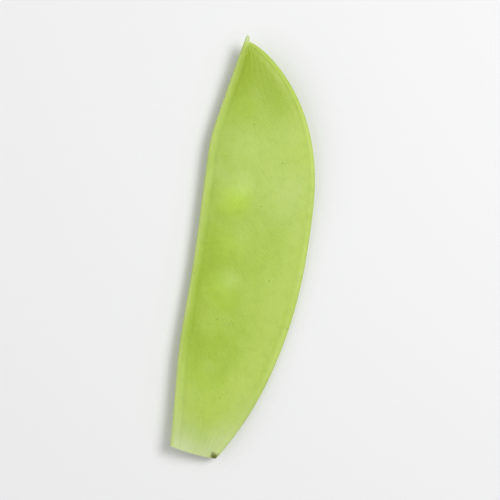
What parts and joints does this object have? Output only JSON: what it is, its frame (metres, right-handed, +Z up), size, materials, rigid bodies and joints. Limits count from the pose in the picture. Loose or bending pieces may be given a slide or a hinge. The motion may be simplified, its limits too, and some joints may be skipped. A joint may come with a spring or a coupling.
{
  "type": "snow pea pod",
  "caption": "Flat trimmed snow pea pod lying on its side: straight seam edge, round back edge, pointed beak, cut stem end and low rounds over the peas.",
  "frame": {"origin": "middle of the underside of the pod's box, on the surface that it lies on", "axes": "+Y along the pod from the stem cut to the beak, +X across it to the round dorsal edge, +Z up from the side it lies on"},
  "size_m": [0.021, 0.0768, 0.0048],
  "materials": {
    "pod_skin": "satin"
  },
  "bodies": {
    "root": {"pod": "pod_skin"}
  },
  "joints": []
}
